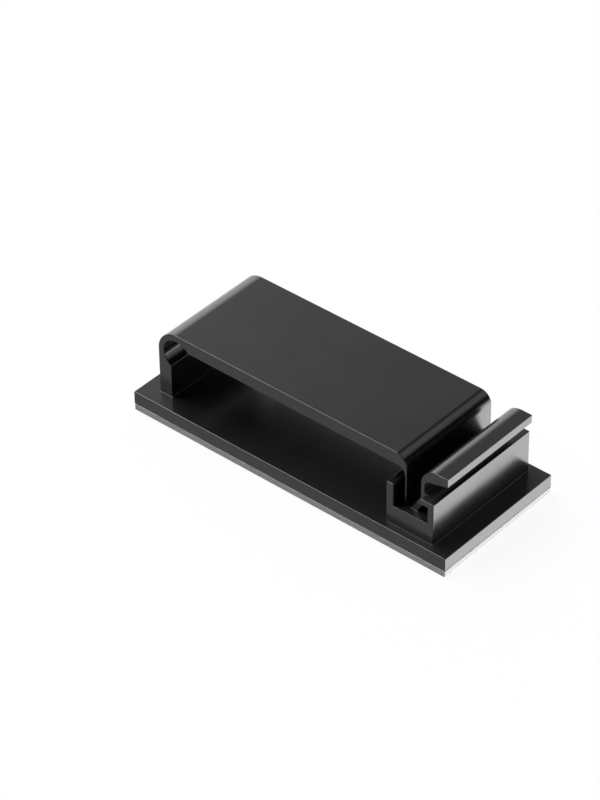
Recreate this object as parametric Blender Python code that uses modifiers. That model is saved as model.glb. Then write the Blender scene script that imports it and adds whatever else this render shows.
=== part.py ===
"""Adhesive flat cable clip: one black moulding with a living hinge and a release lever, on a tape pad.

Metres, +Z up. The origin is the middle of the pad's underside. +X runs along the clip from the
hinge to the latch, and Y runs through the passage under the cover.
"""
import math

import bmesh
import bpy
from mathutils import Vector

# Base plate, and the pad of foam tape under it, which has the same outline
BASE_LENGTH = 0.0608
BASE_DEPTH = 0.0250
BASE_THICKNESS = 0.0023
PAD_THICKNESS = 0.0008
PAD_GAP = 0.0003

# Hinge wall and cover: one band of plastic, narrower than the base along Y
BAND_SETBACK = 0.00273  # from the base's edge to the band's edge, at each side
WALL_INSET = 0.0030  # from the base's end to the wall's outer face
WALL_THICKNESS = 0.0025
CLEAR_HEIGHT = 0.0100  # height of the passage, from the base to the cover
COVER_THICKNESS = 0.0022
BORE_RADIUS = 0.0027  # the bore that thins the corner to a living hinge
HINGE_WEB = 0.0011  # what is left of the corner outside the bore
CORNER_RADIUS = 0.0020
CORNER_FILLET = 0.0012

# Latch block: a trough with a short wall, a floor and a wall whose top turns inward
BLOCK_SETBACK = 0.00133  # from the base's edge to the block's edge, at each side
BLOCK_INSET = 0.0033  # from the base's end to the block's outer face
BLOCK_HEIGHT = 0.0074
SHORT_WALL = 0.0013
TROUGH_FLOOR = 0.0034  # height of the floor above the base
LATCH_WALL = 0.0011
LATCH_WEB = 0.00095  # thickness of the inturned top, which carries the lever
WEB_LEDGE = 0.0003  # from the stem to the web's end, where the web is deeper than the lever

# Leg of the cover, which stands in the trough between the short wall and the spring
LEG_THICKNESS = 0.0004
LEG_GAP = 0.00095  # from the short wall to the leg
LEG_CLEARANCE = 0.0003  # under the leg

# Release lever: a raked spring on the trough floor, an upright stem and a finger flange
SPRING_GAP = 0.00085  # from the leg to the foot of the spring
SPRING_REACH = 0.00175  # how far the spring leans, from its foot to the stem
SPRING_WIDTH = 0.0012
SPRING_DROP = 0.00015  # from the web's underside down to the bend below the stem
SPRING_BEND = 0.0012
STEM_THICKNESS = 0.00073
STEM_GAP = 0.00167  # from the stem to the latch wall's inner face
FINGER_GAP = 0.0024  # from the web up to the flange
FLANGE_OVERHANG = 0.0014
FLANGE_ROOT = 0.0022
FLANGE_TIP = 0.00145
LEVER_OUTER_RADIUS = 0.0030
LEVER_INNER_RADIUS = 0.0011

# Moulding details
EDGE_RADIUS = 0.00012
EDGE_SEGMENTS = 3
PAD_EDGE_RADIUS = 0.00008
ROOT_OVERLAP = 0.0006
ARC_STEP = math.radians(7.5)
FLAT_ANGLE = math.radians(1)
SHARP_ANGLE = math.radians(40)
SHADING_ANGLE = math.radians(30)
WELD_DISTANCE = 0.000001

# Colours and finishes
NYLON_COLOR = (0.012, 0.012, 0.013)
NYLON_ROUGHNESS = 0.28
TAPE_COLOR = (0.80, 0.80, 0.78)
TAPE_ROUGHNESS = 0.85

# Levels and positions that follow from the sizes above
PAD_TOP = PAD_THICKNESS
BASE_BOTTOM = PAD_TOP + PAD_GAP
BASE_TOP = BASE_BOTTOM + BASE_THICKNESS
BAND_DEPTH = BASE_DEPTH - 2 * BAND_SETBACK
BLOCK_DEPTH = BASE_DEPTH - 2 * BLOCK_SETBACK
COVER_UNDERSIDE = BASE_TOP + CLEAR_HEIGHT
COVER_TOP = COVER_UNDERSIDE + COVER_THICKNESS
WALL_OUTER = -BASE_LENGTH / 2 + WALL_INSET
FLOOR_LEVEL = BASE_TOP + TROUGH_FLOOR
BLOCK_TOP = BASE_TOP + BLOCK_HEIGHT
WEB_UNDERSIDE = BLOCK_TOP - LATCH_WEB
LEVER_TOP = BLOCK_TOP + FINGER_GAP + FLANGE_ROOT
BLOCK_RIGHT = BASE_LENGTH / 2 - BLOCK_INSET
TROUGH_RIGHT = BLOCK_RIGHT - LATCH_WALL
STEM_RIGHT = TROUGH_RIGHT - STEM_GAP
STEM_LEFT = STEM_RIGHT - STEM_THICKNESS
SPRING_LEFT = STEM_LEFT - SPRING_REACH
LEG_OUTER = SPRING_LEFT - SPRING_GAP
LEG_INNER = LEG_OUTER - LEG_THICKNESS
TROUGH_LEFT = LEG_INNER - LEG_GAP
BLOCK_LEFT = TROUGH_LEFT - SHORT_WALL


def arc(center_x, center_z, radius, start, end):
    """Points along a round stretch, from one angle to the other, both in degrees."""
    start, end = math.radians(start), math.radians(end)
    steps = max(2, math.ceil(abs(end - start) / ARC_STEP))
    angles = [start + (end - start) * i / steps for i in range(steps + 1)]
    return [(center_x + radius * math.cos(a), center_z + radius * math.sin(a)) for a in angles]


def corner(before, tip, after, radius):
    """Points that round the corner at tip, between the runs toward before and after."""
    tip = Vector(tip)
    toward = [(Vector(end) - tip).normalized() for end in (before, after)]
    half = toward[0].angle(toward[1]) / 2
    center = tip + (toward[0] + toward[1]).normalized() * radius / math.sin(half)
    touches = [tip + way * radius / math.tan(half) - center for way in toward]
    start, end = (math.degrees(math.atan2(touch.y, touch.x)) for touch in touches)
    sweep = (end - start + 180) % 360 - 180
    return arc(center.x, center.y, radius, start, start + sweep)


def band_profile():
    """Hinge wall, living hinge, cover and leg, drawn round from the foot of the wall."""
    outer = BORE_RADIUS + HINGE_WEB
    bore_x, bore_z = WALL_OUTER + outer, COVER_TOP - outer
    wall_inner = WALL_OUTER + WALL_THICKNESS
    leg_foot = FLOOR_LEVEL + LEG_CLEARANCE
    foot = BASE_TOP - ROOT_OVERLAP
    bore_at_cover = math.degrees(math.asin((COVER_UNDERSIDE - bore_z) / BORE_RADIUS))
    bore_at_wall = 360 - math.degrees(math.acos((wall_inner - bore_x) / BORE_RADIUS))
    points = [(WALL_OUTER, foot)]
    points += arc(bore_x, bore_z, outer, 180, 90)
    points += arc(LEG_OUTER - CORNER_RADIUS, COVER_TOP - CORNER_RADIUS, CORNER_RADIUS, 90, 0)
    points += [(LEG_OUTER, leg_foot), (LEG_INNER, leg_foot)]
    points += arc(LEG_INNER - CORNER_FILLET, COVER_UNDERSIDE - CORNER_FILLET, CORNER_FILLET, 0, 90)
    points += arc(bore_x, bore_z, BORE_RADIUS, bore_at_cover, bore_at_wall)
    points += [(wall_inner, foot)]
    return points


def block_profile():
    """The trough, drawn round from its outer left foot, with its inturned web at the top right."""
    foot = BASE_TOP - ROOT_OVERLAP
    web_end = STEM_RIGHT + WEB_LEDGE
    return [
        (BLOCK_LEFT, foot),
        (BLOCK_LEFT, BLOCK_TOP),
        (TROUGH_LEFT, BLOCK_TOP),
        (TROUGH_LEFT, FLOOR_LEVEL),
        (TROUGH_RIGHT, FLOOR_LEVEL),
        (TROUGH_RIGHT, WEB_UNDERSIDE),
        (web_end, WEB_UNDERSIDE),
        (web_end, BLOCK_TOP),
        (BLOCK_RIGHT, BLOCK_TOP),
        (BLOCK_RIGHT, foot),
    ]


def lever_profile():
    """Raked spring, stem and finger flange, drawn round from the foot of the spring."""
    flange_end = BLOCK_RIGHT + FLANGE_OVERHANG
    root = FLOOR_LEVEL - ROOT_OVERLAP
    spring_foot = (SPRING_LEFT, FLOOR_LEVEL)
    bend = (STEM_LEFT, WEB_UNDERSIDE - SPRING_DROP)
    shoulder_z = LEVER_TOP - LEVER_OUTER_RADIUS
    crook_x = STEM_RIGHT + LEVER_INNER_RADIUS
    crook_z = BLOCK_TOP + FINGER_GAP - LEVER_INNER_RADIUS
    rake = SPRING_REACH / (bend[1] - FLOOR_LEVEL)
    pocket_foot = SPRING_LEFT + SPRING_WIDTH
    points = [(SPRING_LEFT, root), spring_foot]
    points += corner(spring_foot, bend, (STEM_LEFT, shoulder_z), SPRING_BEND)
    points += arc(STEM_LEFT + LEVER_OUTER_RADIUS, shoulder_z, LEVER_OUTER_RADIUS, 180, 90)
    points += [(flange_end, LEVER_TOP), (flange_end, LEVER_TOP - FLANGE_TIP)]
    points += arc(crook_x, crook_z, LEVER_INNER_RADIUS, 90, 180)
    points += [(STEM_RIGHT, BLOCK_TOP)]
    points += [(pocket_foot + rake * (BLOCK_TOP - FLOOR_LEVEL), BLOCK_TOP)]
    points += [(pocket_foot, FLOOR_LEVEL), (pocket_foot, root)]
    return points


def material(name, color, roughness):
    """A plain Principled material."""
    made = bpy.data.materials.new(name)
    made.use_nodes = True
    shader = made.node_tree.nodes["Principled BSDF"]
    shader.inputs["Base Color"].default_value = (*color, 1.0)
    shader.inputs["Roughness"].default_value = roughness
    shader.inputs["Metallic"].default_value = 0.0
    return made


def extruded(name, points, depth, collection):
    """A closed solid: an outline in the XZ plane, extruded along Y about the clip's middle."""
    curve = bpy.data.curves.new(name, "CURVE")
    curve.dimensions = "2D"
    curve.fill_mode = "BOTH"
    curve.extrude = depth / 2
    spline = curve.splines.new("POLY")
    spline.points.add(len(points) - 1)
    for point, (x, z) in zip(spline.points, points):
        point.co = (x, z, 0.0, 1.0)
    spline.use_cyclic_u = True
    outline = bpy.data.objects.new(name + "_outline", curve)
    outline.rotation_euler = (math.radians(90), 0.0, 0.0)
    collection.objects.link(outline)
    bpy.context.view_layer.update()
    evaluated = outline.evaluated_get(bpy.context.evaluated_depsgraph_get())
    mesh = bpy.data.meshes.new_from_object(evaluated)
    welded = bmesh.new()
    welded.from_mesh(mesh)
    bmesh.ops.remove_doubles(welded, verts=welded.verts, dist=WELD_DISTANCE)
    welded.to_mesh(mesh)
    welded.free()
    solid = bpy.data.objects.new(name, mesh)
    solid.matrix_world = outline.matrix_world.copy()
    collection.objects.link(solid)
    bpy.data.objects.remove(outline)
    return solid


def box(name, size, center, collection):
    """A box from the cube primitive, with its size applied to the mesh."""
    bpy.ops.mesh.primitive_cube_add(size=1.0, location=center)
    made = bpy.context.active_object
    made.name = name
    for vertex in made.data.vertices:
        vertex.co = [c * s for c, s in zip(vertex.co, size)]
    for owner in list(made.users_collection):
        owner.objects.unlink(made)
    collection.objects.link(made)
    return made


def join(target, tool):
    """Unites a tool solid with the target, and keeps the tool as a hidden construction solid."""
    union = target.modifiers.new("join_" + tool.name, "BOOLEAN")
    union.operation = "UNION"
    union.solver = "EXACT"
    union.object = tool
    tool.hide_render = True
    tool.display_type = "WIRE"


def merge_flats(target):
    """Makes each flat side of a united solid one face, so that its edges round evenly."""
    weld = target.modifiers.new("weld", "WELD")
    weld.merge_threshold = WELD_DISTANCE
    flats = target.modifiers.new("flats", "DECIMATE")
    flats.decimate_type = "DISSOLVE"
    flats.angle_limit = FLAT_ANGLE


def round_edges(target, radius):
    """Rounds each edge that is still sharp by a radius, outside and inside corners alike."""
    bevel = target.modifiers.new("edges", "BEVEL")
    bevel.width = radius
    bevel.segments = EDGE_SEGMENTS
    bevel.limit_method = "ANGLE"
    bevel.angle_limit = SHARP_ANGLE


def build():
    for old in list(bpy.data.objects):
        bpy.data.objects.remove(old)
    parts = bpy.data.collections.new("cable_clip")
    tools = bpy.data.collections.new("construction")
    bpy.context.scene.collection.children.link(parts)
    bpy.context.scene.collection.children.link(tools)

    base_center = (0.0, 0.0, BASE_BOTTOM + BASE_THICKNESS / 2)
    body = box("clip_body", (BASE_LENGTH, BASE_DEPTH, BASE_THICKNESS), base_center, parts)
    round_edges(body, EDGE_RADIUS)
    join(body, extruded("band", band_profile(), BAND_DEPTH, tools))
    join(body, extruded("block", block_profile(), BLOCK_DEPTH, tools))
    join(body, extruded("lever", lever_profile(), BAND_DEPTH, tools))
    merge_flats(body)
    round_edges(body, EDGE_RADIUS)
    body.data.materials.append(material("black_nylon", NYLON_COLOR, NYLON_ROUGHNESS))

    pad_size = (BASE_LENGTH, BASE_DEPTH, PAD_THICKNESS)
    pad = box("adhesive_pad", pad_size, (0.0, 0.0, PAD_THICKNESS / 2), parts)
    round_edges(pad, PAD_EDGE_RADIUS)
    pad.data.materials.append(material("white_foam_tape", TAPE_COLOR, TAPE_ROUGHNESS))

    for piece in (body, pad):
        piece.data.shade_smooth()
        piece.data.set_sharp_from_angle(angle=SHADING_ANGLE)


build()
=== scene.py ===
"""Looks of the adhesive cable clip: a glossy black moulding with a hinged, latched cover on a white foam pad.

Metres, +Z up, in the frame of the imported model: +X runs from the hinge to the latch, and Y runs through
the passage under the cover. The foam pad's underside lies at Z 0.
"""
import math

import bpy
from mathutils import Matrix, Vector


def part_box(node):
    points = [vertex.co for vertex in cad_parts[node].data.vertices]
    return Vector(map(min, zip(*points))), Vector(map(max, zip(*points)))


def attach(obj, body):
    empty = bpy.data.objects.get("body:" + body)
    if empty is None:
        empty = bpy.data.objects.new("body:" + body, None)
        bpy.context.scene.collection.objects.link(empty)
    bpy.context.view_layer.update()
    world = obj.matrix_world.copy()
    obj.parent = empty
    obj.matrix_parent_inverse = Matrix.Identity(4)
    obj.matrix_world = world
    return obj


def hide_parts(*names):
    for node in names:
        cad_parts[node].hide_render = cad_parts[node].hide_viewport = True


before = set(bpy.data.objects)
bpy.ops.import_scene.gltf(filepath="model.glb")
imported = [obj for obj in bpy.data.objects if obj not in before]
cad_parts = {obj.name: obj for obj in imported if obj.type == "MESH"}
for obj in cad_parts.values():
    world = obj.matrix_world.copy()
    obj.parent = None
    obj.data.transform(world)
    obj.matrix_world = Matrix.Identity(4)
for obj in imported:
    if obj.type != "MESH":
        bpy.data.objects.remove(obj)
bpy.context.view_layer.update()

# Camera: a long lens from the front right, above the clip, as in the photograph. Its place, its aim and
# its slight roll are real lengths and angles in the clip's own frame.
CAMERA_AZIMUTH = math.radians(41.234)
CAMERA_ELEVATION = math.radians(38.348)
CAMERA_ROLL = math.radians(-0.811)
CAMERA_DISTANCE = 0.53295
CAMERA_AIM = Vector((-0.005232, -0.002883, 0.008686))
CAMERA_LENS = 160.75
CAMERA_NEAR = 0.01

toward_camera = Vector((
    math.sin(CAMERA_AZIMUTH) * math.cos(CAMERA_ELEVATION),
    -math.cos(CAMERA_AZIMUTH) * math.cos(CAMERA_ELEVATION),
    math.sin(CAMERA_ELEVATION),
))
level_right = Vector((math.cos(CAMERA_AZIMUTH), math.sin(CAMERA_AZIMUTH), 0.0))
camera_turn = Matrix.Rotation(CAMERA_ROLL, 3, toward_camera)
camera_right = camera_turn @ level_right
camera_up = camera_turn @ toward_camera.cross(level_right)
camera_place = Matrix((camera_right, camera_up, toward_camera)).transposed().to_4x4()
camera_place.translation = CAMERA_AIM + toward_camera * CAMERA_DISTANCE
camera = bpy.data.objects.new("camera", bpy.data.cameras.new("camera"))
camera.data.lens = CAMERA_LENS
camera.data.clip_start = CAMERA_NEAR
camera.matrix_world = camera_place
bpy.context.scene.collection.objects.link(camera)
bpy.context.scene.camera = camera

# Moulding: the base, hinge wall, cover, latch block and release lever are one shot of black nylon.
# It comes out of a polished steel mould, so it is glossy, with softly broken edges and small
# fillets in its corners. All its sections are constant along Y.
body_low, body_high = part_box("clip_body")
BASE_THICKNESS = 0.0023
BAND_SETBACK = 0.00273
WALL_INSET = 0.0030
WALL_THICKNESS = 0.0025
COVER_THICKNESS = 0.0022
BORE_RADIUS = 0.0027
HINGE_WEB = 0.0011
CORNER_RADIUS = 0.0020
CORNER_FILLET = 0.0012
BLOCK_SETBACK = 0.00133
BLOCK_INSET = 0.0033
BLOCK_HEIGHT = 0.0074
SHORT_WALL = 0.0013
TROUGH_FLOOR = 0.0034
LATCH_WALL = 0.0011
LATCH_WEB = 0.00095
WEB_LEDGE = 0.0003
LEG_THICKNESS = 0.0004
LEG_GAP = 0.00095
LEG_CLEARANCE = 0.0003
SPRING_GAP = 0.00085
SPRING_REACH = 0.00175
SPRING_WIDTH = 0.0012
SPRING_DROP = 0.00015
SPRING_BEND = 0.0012
STEM_THICKNESS = 0.00073
STEM_GAP = 0.00167
FINGER_GAP = 0.0024
FLANGE_OVERHANG = 0.0014
FLANGE_ROOT = 0.0022
FLANGE_TIP = 0.00145
LEVER_OUTER_RADIUS = 0.0030
LEVER_INNER_RADIUS = 0.0011
EDGE_RADIUS = 0.00012
EDGE_SEGMENTS = 4
ARC_STEP = math.radians(3)
SHARP_ANGLE = math.radians(40)
FLAT_ANGLE = math.radians(1)
ROOT_OVERLAP = 0.0006
WELD_DISTANCE = 0.000001

base_top = body_low.z + BASE_THICKNESS
cover_top = body_high.z
cover_underside = cover_top - COVER_THICKNESS
wall_outer = body_low.x + WALL_INSET
floor_level = base_top + TROUGH_FLOOR
block_top = base_top + BLOCK_HEIGHT
web_underside = block_top - LATCH_WEB
lever_top = block_top + FINGER_GAP + FLANGE_ROOT
block_right = body_high.x - BLOCK_INSET
trough_right = block_right - LATCH_WALL
stem_right = trough_right - STEM_GAP
stem_left = stem_right - STEM_THICKNESS
spring_left = stem_left - SPRING_REACH
leg_outer = spring_left - SPRING_GAP
leg_inner = leg_outer - LEG_THICKNESS
trough_left = leg_inner - LEG_GAP
block_left = trough_left - SHORT_WALL
root_level = base_top - ROOT_OVERLAP


def arc(center_x, center_z, radius, start, end):
    """Points along a round stretch, from one angle to the other, both in degrees."""
    start, end = math.radians(start), math.radians(end)
    steps = max(2, math.ceil(abs(end - start) / ARC_STEP))
    angles = [start + (end - start) * i / steps for i in range(steps + 1)]
    return [(center_x + radius * math.cos(a), center_z + radius * math.sin(a)) for a in angles]


def corner(before, tip, after, radius):
    """Points that round the corner at tip, between the runs toward before and after."""
    tip = Vector(tip)
    toward = [(Vector(end) - tip).normalized() for end in (before, after)]
    half = toward[0].angle(toward[1]) / 2
    center = tip + (toward[0] + toward[1]).normalized() * radius / math.sin(half)
    touches = [tip + way * radius / math.tan(half) - center for way in toward]
    start, end = (math.degrees(math.atan2(touch.y, touch.x)) for touch in touches)
    sweep = (end - start + 180) % 360 - 180
    return arc(center.x, center.y, radius, start, start + sweep)


def shade(piece):
    """Smooth shading, with each vertex's normal led by its larger faces, so that flat sides stay flat."""
    totals = [Vector() for _ in piece.data.vertices]
    for face in piece.data.polygons:
        for vertex in face.vertices:
            totals[vertex] += face.normal * face.area
    piece.data.shade_smooth()
    piece.data.normals_split_custom_set_from_vertices([total.normalized() for total in totals])


def section(name, outline):
    """A flat face in the XZ plane, whose outline runs clockwise as seen from the front."""
    mesh = bpy.data.meshes.new(name)
    mesh.from_pydata([(x, 0.0, z) for x, z in outline], [], [range(len(outline))])
    flat = bpy.data.objects.new(name, mesh)
    bpy.context.scene.collection.objects.link(flat)
    return flat


base_outline = [
    (body_low.x, body_low.z),
    (body_low.x, base_top),
    (body_high.x, base_top),
    (body_high.x, body_low.z),
]

# The band: hinge wall, living hinge round the bore, cover, and the thin leg that latches.
hinge_radius = BORE_RADIUS + HINGE_WEB
hinge_x = wall_outer + hinge_radius
hinge_z = cover_top - hinge_radius
wall_inner = wall_outer + WALL_THICKNESS
bore_at_cover = math.degrees(math.asin((cover_underside - hinge_z) / BORE_RADIUS))
bore_at_wall = 360 - math.degrees(math.acos((wall_inner - hinge_x) / BORE_RADIUS))
leg_foot = floor_level + LEG_CLEARANCE
band_outline = [(wall_outer, root_level)]
band_outline += arc(hinge_x, hinge_z, hinge_radius, 180, 90)
band_outline += arc(leg_outer - CORNER_RADIUS, cover_top - CORNER_RADIUS, CORNER_RADIUS, 90, 0)
band_outline += [(leg_outer, leg_foot), (leg_inner, leg_foot)]
band_outline += arc(
    leg_inner - CORNER_FILLET, cover_underside - CORNER_FILLET, CORNER_FILLET, 0, 90
)
band_outline += arc(hinge_x, hinge_z, BORE_RADIUS, bore_at_cover, bore_at_wall)
band_outline += [(wall_inner, root_level)]

# The latch block: a trough whose outer wall turns in at the top as a web.
web_end = stem_right + WEB_LEDGE
block_outline = [
    (block_left, root_level),
    (block_left, block_top),
    (trough_left, block_top),
    (trough_left, floor_level),
    (trough_right, floor_level),
    (trough_right, web_underside),
    (web_end, web_underside),
    (web_end, block_top),
    (block_right, block_top),
    (block_right, root_level),
]

# The release lever: a raked spring from the trough floor, an upright stem and a finger flange.
flange_end = block_right + FLANGE_OVERHANG
lever_root = floor_level - ROOT_OVERLAP
spring_foot = (spring_left, floor_level)
bend = (stem_left, web_underside - SPRING_DROP)
shoulder_z = lever_top - LEVER_OUTER_RADIUS
crook_x = stem_right + LEVER_INNER_RADIUS
crook_z = block_top + FINGER_GAP - LEVER_INNER_RADIUS
rake = SPRING_REACH / (bend[1] - floor_level)
pocket_foot = spring_left + SPRING_WIDTH
lever_outline = [(spring_left, lever_root), spring_foot]
lever_outline += corner(spring_foot, bend, (stem_left, shoulder_z), SPRING_BEND)
lever_outline += arc(stem_left + LEVER_OUTER_RADIUS, shoulder_z, LEVER_OUTER_RADIUS, 180, 90)
lever_outline += [(flange_end, lever_top), (flange_end, lever_top - FLANGE_TIP)]
lever_outline += arc(crook_x, crook_z, LEVER_INNER_RADIUS, 90, 180)
lever_outline += [(stem_right, block_top)]
lever_outline += [(pocket_foot + rake * (block_top - floor_level), block_top)]
lever_outline += [(pocket_foot, floor_level), (pocket_foot, lever_root)]

base_depth = body_high.y - body_low.y
band_depth = base_depth - 2 * BAND_SETBACK
block_depth = base_depth - 2 * BLOCK_SETBACK


def add(tree, kind, inputs=None, **settings):
    """Adds a node with its settings. A list of outputs, or one, is linked, and other values are set."""
    node = tree.nodes.new(kind)
    for name, value in settings.items():
        setattr(node, name, value)
    for name, value in (inputs or {}).items():
        sources = value if isinstance(value, list) else [value]
        for source in sources:
            if isinstance(source, bpy.types.NodeSocket):
                tree.links.new(source, node.inputs[name])
            else:
                node.inputs[name].default_value = source
    return node


def new_tree(name, sizes):
    """An empty geometry tree, with an input for each named size, and the outputs of its input node."""
    tree = bpy.data.node_groups.new(name, "GeometryNodeTree")
    for size, kind in sizes.items():
        tree.interface.new_socket(size, in_out="INPUT", socket_type="NodeSocket" + kind)
    tree.interface.new_socket("Geometry", in_out="OUTPUT", socket_type="NodeSocketGeometry")
    return tree, add(tree, "NodeGroupInput").outputs


def end_tree(tree, geometry, material):
    """Ends a geometry tree: its instances are made real, and its material is set."""
    real = add(tree, "GeometryNodeRealizeInstances", {"Geometry": geometry})
    painted = add(tree, "GeometryNodeSetMaterial", {"Geometry": real.outputs[0], "Material": material})
    add(tree, "NodeGroupOutput", {"Geometry": painted.outputs[0]})


def run_tree(target, tree, values):
    """Adds a modifier that runs a geometry tree, with its inputs set by their sockets' identifiers."""
    modifier = target.modifiers.new(tree.name, "NODES")
    modifier.node_group = tree
    for socket in tree.interface.items_tree:
        if socket.name in values:
            modifier[socket.identifier] = values[socket.name]


def finished(shape, name):
    """A plain mesh object with a shape's modifiers applied. The shape itself is removed."""
    bpy.context.view_layer.update()
    evaluated = shape.evaluated_get(bpy.context.evaluated_depsgraph_get())
    mesh = bpy.data.meshes.new_from_object(evaluated)
    bpy.data.objects.remove(shape)
    piece = bpy.data.objects.new(name, mesh)
    bpy.context.scene.collection.objects.link(piece)
    return piece


def linear(hex_color):
    """A colour for the shader, in linear light, from an sRGB hex value."""
    channels = [int(hex_color[i:i + 2], 16) / 255 for i in (1, 3, 5)]
    light = [c / 12.92 if c <= 0.04045 else ((c + 0.055) / 1.055) ** 2.4 for c in channels]
    return (*light, 1.0)


def new_material(name):
    """An empty material, and its node tree."""
    made = bpy.data.materials.new(name)
    made.use_nodes = True
    made.node_tree.nodes.clear()
    return made, made.node_tree


# Nylon, dyed black right through and moulded against polished steel: a deep gloss that blurs a little
# with distance. Its IOR starts from nylon's 1.53 and is raised to match. Flow in the mould leaves faint
# changes of gloss, each some 7 mm wide, as a noise goes from one level to the other, and an orange peel
# with bumps 0.4 mm wide.
NYLON_COLOR = "#1b1b1c"
NYLON_IOR = 1.58
GLOSS_ROUGHNESS = 0.2
DULL_ROUGHNESS = 0.24
FLOW_SIZE = 0.007
FLOW_DETAIL = 2.0
FLOW_START = 0.3
FLOW_END = 0.7
PEEL_SIZE = 0.0004
PEEL_DETAIL = 1.0
PEEL_DEPTH = 0.00002
PEEL_STRENGTH = 0.05
nylon, tree = new_material("moulded_black_nylon")
place = add(tree, "ShaderNodeTexCoord").outputs["Object"]
flow = add(tree, "ShaderNodeTexNoise", {"Vector": place, "Scale": 1 / FLOW_SIZE, "Detail": FLOW_DETAIL})
gloss = add(tree, "ShaderNodeMapRange", {
    "Value": flow.outputs["Fac"],
    "From Min": FLOW_START,
    "From Max": FLOW_END,
    "To Min": GLOSS_ROUGHNESS,
    "To Max": DULL_ROUGHNESS,
})
peel = add(tree, "ShaderNodeTexNoise", {"Vector": place, "Scale": 1 / PEEL_SIZE, "Detail": PEEL_DETAIL})
relief = add(tree, "ShaderNodeBump", {
    "Height": peel.outputs["Fac"], "Strength": PEEL_STRENGTH, "Distance": PEEL_DEPTH,
})
shader = add(tree, "ShaderNodeBsdfPrincipled", {
    "Base Color": linear(NYLON_COLOR),
    "Roughness": gloss.outputs["Result"],
    "Normal": relief.outputs["Normal"],
    "IOR": NYLON_IOR,
})
add(tree, "ShaderNodeOutputMaterial", {"Surface": shader.outputs["BSDF"]})

# Every feature is its section drawn along Y, about the middle, and united with the rest.
drawn_section, given = new_tree("drawn_section", {
    "Geometry": "Geometry", "Section": "Object", "Depth": "Float", "Material": "Material",
})
outline = add(drawn_section, "GeometryNodeObjectInfo", {"Object": given["Section"]})
to_front = add(drawn_section, "ShaderNodeMath", {0: given["Depth"], 1: -0.5}, operation="MULTIPLY")
shift = add(drawn_section, "ShaderNodeCombineXYZ", {"Y": to_front.outputs[0]})
cap = add(drawn_section, "GeometryNodeSetPosition", {
    "Geometry": outline.outputs["Geometry"], "Offset": shift.outputs[0],
})
sides = add(drawn_section, "GeometryNodeExtrudeMesh", {
    "Mesh": cap.outputs[0], "Offset Scale": given["Depth"], "Individual": False,
}, mode="FACES")
front = add(drawn_section, "GeometryNodeFlipFaces", {"Mesh": cap.outputs[0]})
shell = add(drawn_section, "GeometryNodeJoinGeometry", {
    "Geometry": [front.outputs[0], sides.outputs["Mesh"]],
})
solid = add(drawn_section, "GeometryNodeMergeByDistance", {
    "Geometry": shell.outputs[0], "Distance": WELD_DISTANCE,
})
union = add(drawn_section, "GeometryNodeMeshBoolean", {
    "Mesh 2": [given["Geometry"], solid.outputs[0]],
}, operation="UNION", solver="EXACT")
end_tree(drawn_section, union.outputs["Mesh"], given["Material"])

shot = bpy.data.objects.new("shot", bpy.data.meshes.new("shot"))
bpy.context.scene.collection.objects.link(shot)


def mould(name, outline, depth):
    """Adds a feature to the moulding, and returns the object that holds the feature's section."""
    flat = section(name, outline)
    run_tree(shot, drawn_section, {"Section": flat, "Depth": depth, "Material": nylon})
    return flat


def break_edges(target):
    """Rounds each edge that is still sharp, in outside and inside corners alike."""
    edges = target.modifiers.new("broken_edges", "BEVEL")
    edges.width = EDGE_RADIUS
    edges.segments = EDGE_SEGMENTS
    edges.limit_method = "ANGLE"
    edges.angle_limit = SHARP_ANGLE


sections = [mould("base", base_outline, base_depth)]
break_edges(shot)
sections += [
    mould("band", band_outline, band_depth),
    mould("block", block_outline, block_depth),
    mould("lever", lever_outline, band_depth),
]
weld = shot.modifiers.new("weld", "WELD")
weld.merge_threshold = WELD_DISTANCE
flats = shot.modifiers.new("flats", "DECIMATE")
flats.decimate_type = "DISSOLVE"
flats.angle_limit = FLAT_ANGLE
break_edges(shot)
moulding = finished(shot, "moulding")
shade(moulding)
for used in sections:
    bpy.data.objects.remove(used)
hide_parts("clip_body")
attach(moulding, "root")

# Foam pad: a strip of white polyethylene foam tape under the whole base, with an adhesive film on both
# faces. A blade cuts it to size, so its edge shows the foam's opened cells between the two films. The
# rim and the hollow of a cell are given as distances from its wall, in cell sizes.
pad_low, pad_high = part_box("adhesive_pad")
pad_height = body_low.z - pad_low.z
PAD_CORNER = 0.0002
PAD_CORNER_STEPS = 4
CUT_STEP = 0.00008
CELL_SIZE = 0.00022
CELL_DEPTH = 0.000004
CELL_RIM = 0.05
CELL_HOLLOW = 0.3
FILM_THICKNESS = 0.0001
FILM_ROUNDING = 0.00002

# Polyethylene foam scatters light inside, so it is dull and white. The opened cells are painted darker, as
# painted shade in their hollows. The films are smoother and a little whiter. Torn cell walls leave a fine
# grain, 0.11 mm wide.
FOAM_COLOR = "#dedede"
CELL_SHADE_COLOR = "#dadada"
FILM_COLOR = "#f0f0f0"
FOAM_IOR = 1.45
FOAM_ROUGHNESS = 0.9
FILM_ROUGHNESS = 0.4
GRAIN_SIZE = 0.00011
GRAIN_DETAIL = 2.0
GRAIN_DEPTH = 0.00002
GRAIN_STRENGTH = 0.1
foam, tree = new_material("white_foam_tape")
place = add(tree, "ShaderNodeTexCoord").outputs["Object"]
cells = add(tree, "ShaderNodeTexVoronoi", {
    "Vector": place, "Scale": 1 / CELL_SIZE,
}, feature="DISTANCE_TO_EDGE")
# The hollow of each opened cell is painted darker: this is painted shade, not a colour of the foam.
opening = add(tree, "ShaderNodeMapRange", {
    "Value": cells.outputs["Distance"], "From Min": CELL_RIM, "From Max": CELL_HOLLOW,
}, interpolation_type="SMOOTHSTEP")
foam_with_cell_shade = add(tree, "ShaderNodeMix", {
    "Factor": opening.outputs["Result"], 6: linear(FOAM_COLOR), 7: linear(CELL_SHADE_COLOR),
}, data_type="RGBA")
split = add(tree, "ShaderNodeSeparateXYZ", {"Vector": place})
above_middle = add(tree, "ShaderNodeMath", {
    0: split.outputs["Z"], 1: pad_low.z + pad_height / 2,
}, operation="SUBTRACT")
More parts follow.
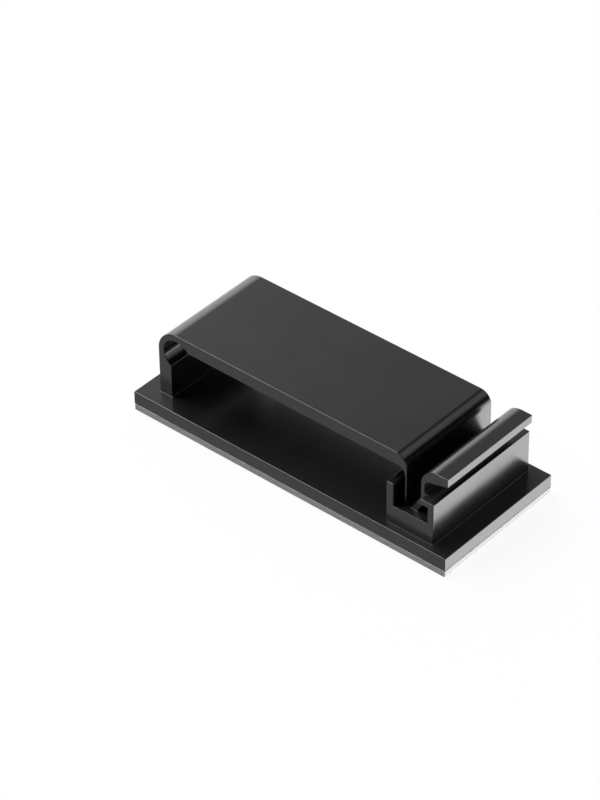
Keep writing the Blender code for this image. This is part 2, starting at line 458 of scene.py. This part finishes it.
from_middle = add(tree, "ShaderNodeMath", {0: above_middle.outputs[0]}, operation="ABSOLUTE")
film = add(tree, "ShaderNodeMath", {
    0: from_middle.outputs[0], 1: pad_height / 2 - FILM_THICKNESS,
}, operation="GREATER_THAN")
tint = add(tree, "ShaderNodeMix", {
    "Factor": film.outputs[0], 6: foam_with_cell_shade.outputs[2], 7: linear(FILM_COLOR),
}, data_type="RGBA")
dullness = add(tree, "ShaderNodeMapRange", {
    "Value": film.outputs[0], "To Min": FOAM_ROUGHNESS, "To Max": FILM_ROUGHNESS,
})
grain = add(tree, "ShaderNodeTexNoise", {"Vector": place, "Scale": 1 / GRAIN_SIZE, "Detail": GRAIN_DETAIL})
relief = add(tree, "ShaderNodeBump", {
    "Height": grain.outputs["Fac"], "Strength": GRAIN_STRENGTH, "Distance": GRAIN_DEPTH,
})
shader = add(tree, "ShaderNodeBsdfPrincipled", {
    "Base Color": tint.outputs[2],
    "Roughness": dullness.outputs["Result"],
    "Normal": relief.outputs["Normal"],
    "IOR": FOAM_IOR,
})
add(tree, "ShaderNodeOutputMaterial", {"Surface": shader.outputs["BSDF"]})

# The edge is a fine grid wrapped round the outline. Each cell that the blade opened is a shallow pit in
# it, and the films' corners are rounded.
cut_foam, given = new_tree("cut_foam", {
    "Width": "Float", "Depth": "Float", "Height": "Float", "Corner": "Float", "Corner Steps": "Int",
    "Step": "Float", "Cell Size": "Float", "Cell Rim": "Float", "Cell Hollow": "Float",
    "Cell Depth": "Float", "Film": "Float", "Rounding": "Float", "Material": "Material",
})
rectangle = add(cut_foam, "GeometryNodeCurvePrimitiveQuadrilateral", {
    "Width": given["Width"], "Height": given["Depth"],
})
rounded = add(cut_foam, "GeometryNodeFilletCurve", {
    "Curve": rectangle.outputs[0], "Radius": given["Corner"], "Count": given["Corner Steps"],
}, mode="POLY")
rim = add(cut_foam, "GeometryNodeResampleCurve", {
    "Curve": rounded.outputs[0], "Length": given["Step"],
}, mode="LENGTH")
below = add(cut_foam, "ShaderNodeMath", {0: given["Height"], 1: -1.0}, operation="MULTIPLY")
start = add(cut_foam, "ShaderNodeCombineXYZ", {"Y": below.outputs[0]})
upright = add(cut_foam, "GeometryNodeCurvePrimitiveLine", {"Start": start.outputs[0], "End": (0.0, 0.0, 0.0)})
rows = add(cut_foam, "GeometryNodeResampleCurve", {
    "Curve": upright.outputs[0], "Length": given["Step"],
}, mode="LENGTH")
edge = add(cut_foam, "GeometryNodeCurveToMesh", {
    "Curve": rim.outputs[0], "Profile Curve": rows.outputs[0],
})
face = add(cut_foam, "GeometryNodeFillCurve", {"Curve": rim.outputs[0]}, mode="NGONS")
lift = add(cut_foam, "ShaderNodeCombineXYZ", {"Z": given["Height"]})
upper = add(cut_foam, "GeometryNodeSetPosition", {"Geometry": face.outputs[0], "Offset": lift.outputs[0]})
lower = add(cut_foam, "GeometryNodeFlipFaces", {"Mesh": face.outputs[0]})
strip = add(cut_foam, "GeometryNodeJoinGeometry", {
    "Geometry": [edge.outputs[0], upper.outputs[0], lower.outputs[0]],
})
closed = add(cut_foam, "GeometryNodeMergeByDistance", {
    "Geometry": strip.outputs[0], "Distance": WELD_DISTANCE,
})

# Outwards is away from the nearest point of a rectangle that lies one corner radius inside the outline.
spot = add(cut_foam, "GeometryNodeInputPosition").outputs[0]
half_size = add(cut_foam, "ShaderNodeCombineXYZ", {"X": given["Width"], "Y": given["Depth"]})
reach = add(cut_foam, "ShaderNodeVectorMath", {0: half_size.outputs[0], "Scale": 0.5}, operation="SCALE")
corner_in = add(cut_foam, "ShaderNodeCombineXYZ", {"X": given["Corner"], "Y": given["Corner"]})
core = add(cut_foam, "ShaderNodeVectorMath", {
    0: reach.outputs[0], 1: corner_in.outputs[0],
}, operation="SUBTRACT")
other_core = add(cut_foam, "ShaderNodeVectorMath", {0: core.outputs[0], "Scale": -1.0}, operation="SCALE")
capped = add(cut_foam, "ShaderNodeVectorMath", {0: spot, 1: core.outputs[0]}, operation="MINIMUM")
nearest = add(cut_foam, "ShaderNodeVectorMath", {
    0: capped.outputs[0], 1: other_core.outputs[0],
}, operation="MAXIMUM")
away = add(cut_foam, "ShaderNodeVectorMath", {0: spot, 1: nearest.outputs[0]}, operation="SUBTRACT")
level = add(cut_foam, "ShaderNodeVectorMath", {0: away.outputs[0], 1: (1.0, 1.0, 0.0)}, operation="MULTIPLY")
outwards = add(cut_foam, "ShaderNodeVectorMath", {0: level.outputs[0]}, operation="NORMALIZE")

# How far a point of the edge draws in: a pit's depth in the foam, and the rounding at the very rim.
middle = add(cut_foam, "ShaderNodeMath", {0: given["Height"], 1: 0.5}, operation="MULTIPLY")
split = add(cut_foam, "ShaderNodeSeparateXYZ", {"Vector": spot})
above_middle = add(cut_foam, "ShaderNodeMath", {
    0: split.outputs["Z"], 1: middle.outputs[0],
}, operation="SUBTRACT")
from_middle = add(cut_foam, "ShaderNodeMath", {0: above_middle.outputs[0]}, operation="ABSOLUTE")
from_face = add(cut_foam, "ShaderNodeMath", {
    0: middle.outputs[0], 1: from_middle.outputs[0],
}, operation="SUBTRACT")
in_foam = add(cut_foam, "ShaderNodeMath", {
    0: from_face.outputs[0], 1: given["Film"],
}, operation="GREATER_THAN")
fineness = add(cut_foam, "ShaderNodeMath", {0: 1.0, 1: given["Cell Size"]}, operation="DIVIDE")
cells = add(cut_foam, "ShaderNodeTexVoronoi", {
    "Vector": spot, "Scale": fineness.outputs[0],
}, feature="DISTANCE_TO_EDGE")
opening = add(cut_foam, "ShaderNodeMapRange", {
    "Value": cells.outputs["Distance"],
    "From Min": given["Cell Rim"],
    "From Max": given["Cell Hollow"],
    "To Max": given["Cell Depth"],
}, interpolation_type="SMOOTHSTEP")
pit = add(cut_foam, "ShaderNodeMath", {
    0: opening.outputs["Result"], 1: in_foam.outputs[0],
}, operation="MULTIPLY")
rounding = add(cut_foam, "ShaderNodeMapRange", {
    "Value": from_face.outputs[0], "From Max": given["Film"], "To Min": given["Rounding"], "To Max": 0.0,
}, interpolation_type="SMOOTHERSTEP")
drawn_in = add(cut_foam, "ShaderNodeMath", {0: pit.outputs[0], 1: rounding.outputs["Result"]})
inwards = add(cut_foam, "ShaderNodeMath", {0: drawn_in.outputs[0], 1: -1.0}, operation="MULTIPLY")
move = add(cut_foam, "ShaderNodeVectorMath", {
    0: outwards.outputs[0], "Scale": inwards.outputs[0],
}, operation="SCALE")
shaped = add(cut_foam, "GeometryNodeSetPosition", {
    "Geometry": closed.outputs[0], "Offset": move.outputs[0],
})
end_tree(cut_foam, shaped.outputs[0], given["Material"])

strip_shape = bpy.data.objects.new("strip_shape", bpy.data.meshes.new("strip_shape"))
bpy.context.scene.collection.objects.link(strip_shape)
run_tree(strip_shape, cut_foam, {
    "Width": pad_high.x - pad_low.x,
    "Depth": pad_high.y - pad_low.y,
    "Height": pad_height,
    "Corner": PAD_CORNER,
    "Corner Steps": PAD_CORNER_STEPS,
    "Step": CUT_STEP,
    "Cell Size": CELL_SIZE,
    "Cell Rim": CELL_RIM,
    "Cell Hollow": CELL_HOLLOW,
    "Cell Depth": CELL_DEPTH,
    "Film": FILM_THICKNESS,
    "Rounding": FILM_ROUNDING,
    "Material": foam,
})
pad = finished(strip_shape, "foam_pad")
shade(pad)
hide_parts("adhesive_pad")
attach(pad, "root")

# Floor: a sheet of white paper a little below the pad, which takes the clip's faint shadow. The camera
# alone sees it: what it throws back onto the clip is given by the studio's lights from below.
FLOOR_SIZE = 4.0
FLOOR_DROP = 0.00002
PAPER_COLOR = "#f4f4f4"
GLOW_COLOR = "#ffffff"
GLOW_STRENGTH = 1.0
GLOW_SHARE = 0.93
half = FLOOR_SIZE / 2
floor_mesh = bpy.data.meshes.new("floor")
floor_mesh.from_pydata(
    [(x, y, -FLOOR_DROP) for x, y in ((-half, -half), (half, -half), (half, half), (-half, half))],
    [], [(0, 1, 2, 3)],
)
floor = bpy.data.objects.new("floor", floor_mesh)
bpy.context.scene.collection.objects.link(floor)
floor.visible_glossy = False
floor.visible_diffuse = False
floor.visible_shadow = False
paper, tree = new_material("white_paper_floor")
matt = add(tree, "ShaderNodeBsdfDiffuse", {"Color": linear(PAPER_COLOR)})
glow = add(tree, "ShaderNodeEmission", {"Color": linear(GLOW_COLOR), "Strength": GLOW_STRENGTH})
mixed = add(tree, "ShaderNodeMixShader", {
    0: GLOW_SHARE, 1: matt.outputs["BSDF"], 2: glow.outputs["Emission"],
})
add(tree, "ShaderNodeOutputMaterial", {"Surface": mixed.outputs["Shader"]})
floor_mesh.materials.append(paper)

# Studio: soft lights in a white room, each with its direction, its strength, and the angles from its
# middle where it starts to fade and where it ends. Those from below are the lit floor. The camera sees
# plain white behind the clip instead of them.
LIGHT_COLOR = "#ffffff"
SEEN_STRENGTH = 1.0
STUDIO_LIGHTS = {
    "softbox overhead": ((-0.52, -0.02, 0.86), 9.4, 8, 25),
    "strip that draws the front edges": ((-0.56, -0.56, 0.61), 7.5, 5, 10),
    "wall on the left": ((-0.85, 0.30, 0.43), 1.2, 8, 30),
    "wall behind, on the left": ((-0.62, 0.72, 0.31), 0.6, 8, 30),
    "panel behind": ((0.28, 0.59, 0.76), 0.82, 8, 28),
    "table edge on the left": ((-0.80, 0.59, -0.14), 0.95, 10, 45),
    "floor on the left": ((-0.75, 0.45, -0.48), 0.6, 10, 35),
    "floor behind, on the right": ((0.52, 0.59, -0.62), 2.65, 10, 45),
    "floor on the right": ((0.85, 0.20, -0.48), 2.6, 15, 45),
    "floor in front": ((-0.52, -0.59, -0.62), 0.65, 8, 34),
}
world = bpy.data.worlds.new("studio")
bpy.context.scene.world = world
world.use_nodes = True
tree = world.node_tree
tree.nodes.clear()
way = add(tree, "ShaderNodeTexCoord").outputs["Generated"]
total = 0.0
for axis, strength, full, end in STUDIO_LIGHTS.values():
    facing = add(tree, "ShaderNodeVectorMath", {
        0: way, 1: Vector(axis).normalized(),
    }, operation="DOT_PRODUCT")
    light = add(tree, "ShaderNodeMapRange", {
        "Value": facing.outputs["Value"],
        "From Min": math.cos(math.radians(end)),
        "From Max": math.cos(math.radians(full)),
        "To Min": 0.0,
        "To Max": strength,
    }, interpolation_type="SMOOTHSTEP")
    total = add(tree, "ShaderNodeMath", {0: light.outputs["Result"], 1: total}).outputs["Value"]
rays = add(tree, "ShaderNodeLightPath")
seen = add(tree, "ShaderNodeMix", {"Factor": rays.outputs["Is Camera Ray"], 2: total, 3: SEEN_STRENGTH})
background = add(tree, "ShaderNodeBackground", {
    "Color": linear(LIGHT_COLOR), "Strength": seen.outputs[0],
})
add(tree, "ShaderNodeOutputWorld", {"Surface": background.outputs["Background"]})
bpy.context.scene.view_settings.view_transform = "Standard"
